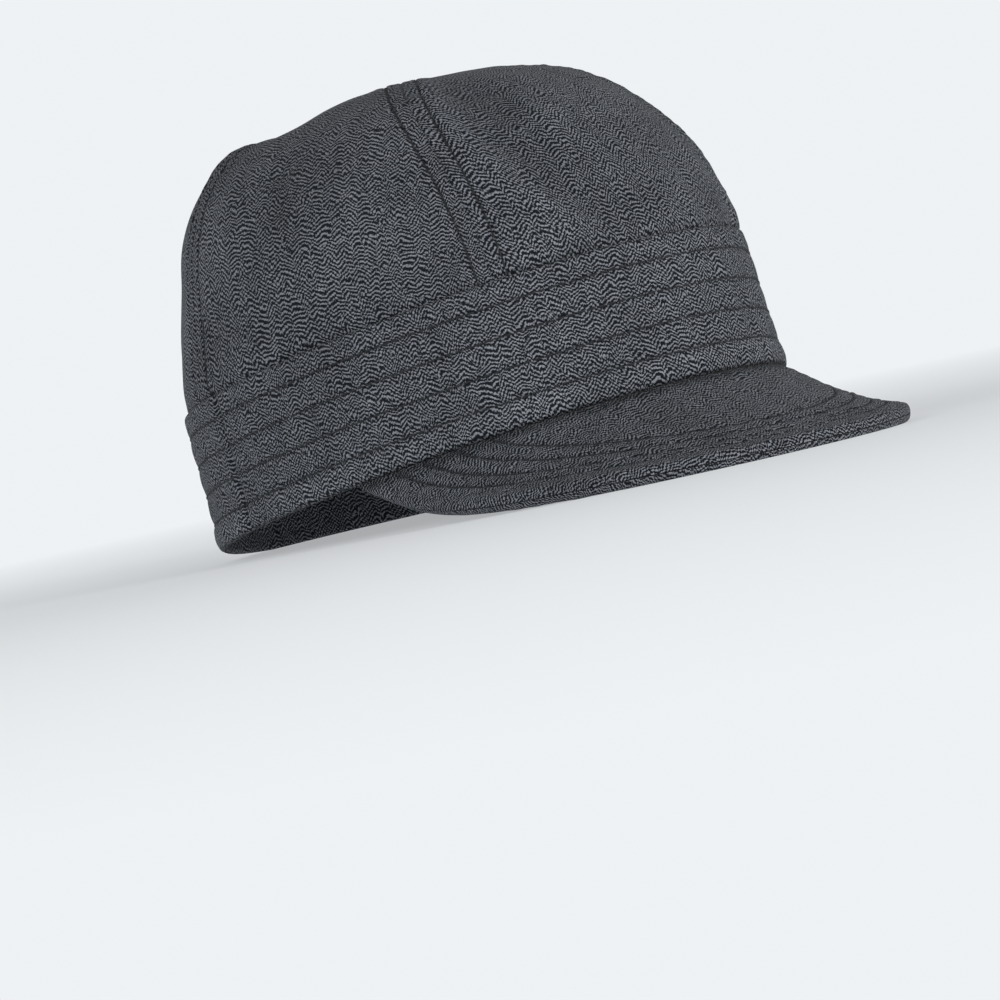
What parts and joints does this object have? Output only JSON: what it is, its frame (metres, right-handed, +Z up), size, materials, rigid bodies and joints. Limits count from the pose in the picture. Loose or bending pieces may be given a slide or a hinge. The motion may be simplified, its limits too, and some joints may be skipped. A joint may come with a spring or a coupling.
{
  "type": "work cap",
  "caption": "Soft work cap with a panelled crown, a wide stitched band and a short curved peak, hollow for the head.",
  "frame": {"origin": "on the floor that the cap lies on, under the middle of its bounding box", "axes": "+Z up, -Y towards the peak, +X to the wearer's left"},
  "size_m": [0.1704, 0.2592, 0.1354],
  "materials": {
    "crown_cloth": "charcoal and light grey herringbone cloth, matte",
    "band_cloth": "charcoal and light grey herringbone cloth, matte, in stitched rows",
    "peak_cloth": "charcoal and light grey herringbone cloth, matte, in stitched rows"
  },
  "bodies": {
    "root": {"crown_front_panel": "crown_cloth", "crown_side_panel_right": "crown_cloth", "crown_side_panel_left": "crown_cloth", "crown_back_panel_right": "crown_cloth", "crown_back_panel_left": "crown_cloth", "band_front": "band_cloth", "band_back": "band_cloth", "peak_top_cloth": "peak_cloth", "peak_under_cloth": "peak_cloth"}
  },
  "joints": []
}
